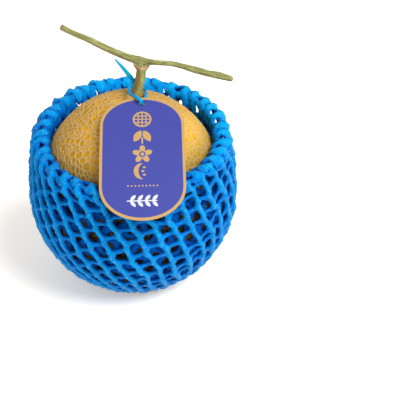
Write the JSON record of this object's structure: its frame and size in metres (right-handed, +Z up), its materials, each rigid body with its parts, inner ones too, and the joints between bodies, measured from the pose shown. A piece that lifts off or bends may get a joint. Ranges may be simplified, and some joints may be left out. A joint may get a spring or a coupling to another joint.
{
  "type": "muskmelon in a foam net",
  "caption": "Round netted muskmelon with a T-shaped vine stem, sitting in a folded blue foam net, with a round-ended hang tag on a loop tie.",
  "frame": {"origin": "centre of the small flat spot that the melon rests on", "axes": "+Z up through the melon, -Y towards the side that the tag faces, +X to the right seen from there"},
  "size_m": [0.1572, 0.1695, 0.1944],
  "materials": {
    "melon_skin": "ochre rind under raised tan corky netting",
    "dry_vine": "ridged grey-green dry vine",
    "blue_foam": "soft expanded foam strands with a slight sheen",
    "violet_card": "printed violet card with a tan border",
    "light_blue_cord": "smooth light blue plastic loop"
  },
  "bodies": {
    "root": {"melon": "melon_skin", "stem": "dry_vine", "foam_net": "blue_foam", "hang_tag": "violet_card", "tag_tie": "light_blue_cord"}
  },
  "joints": []
}
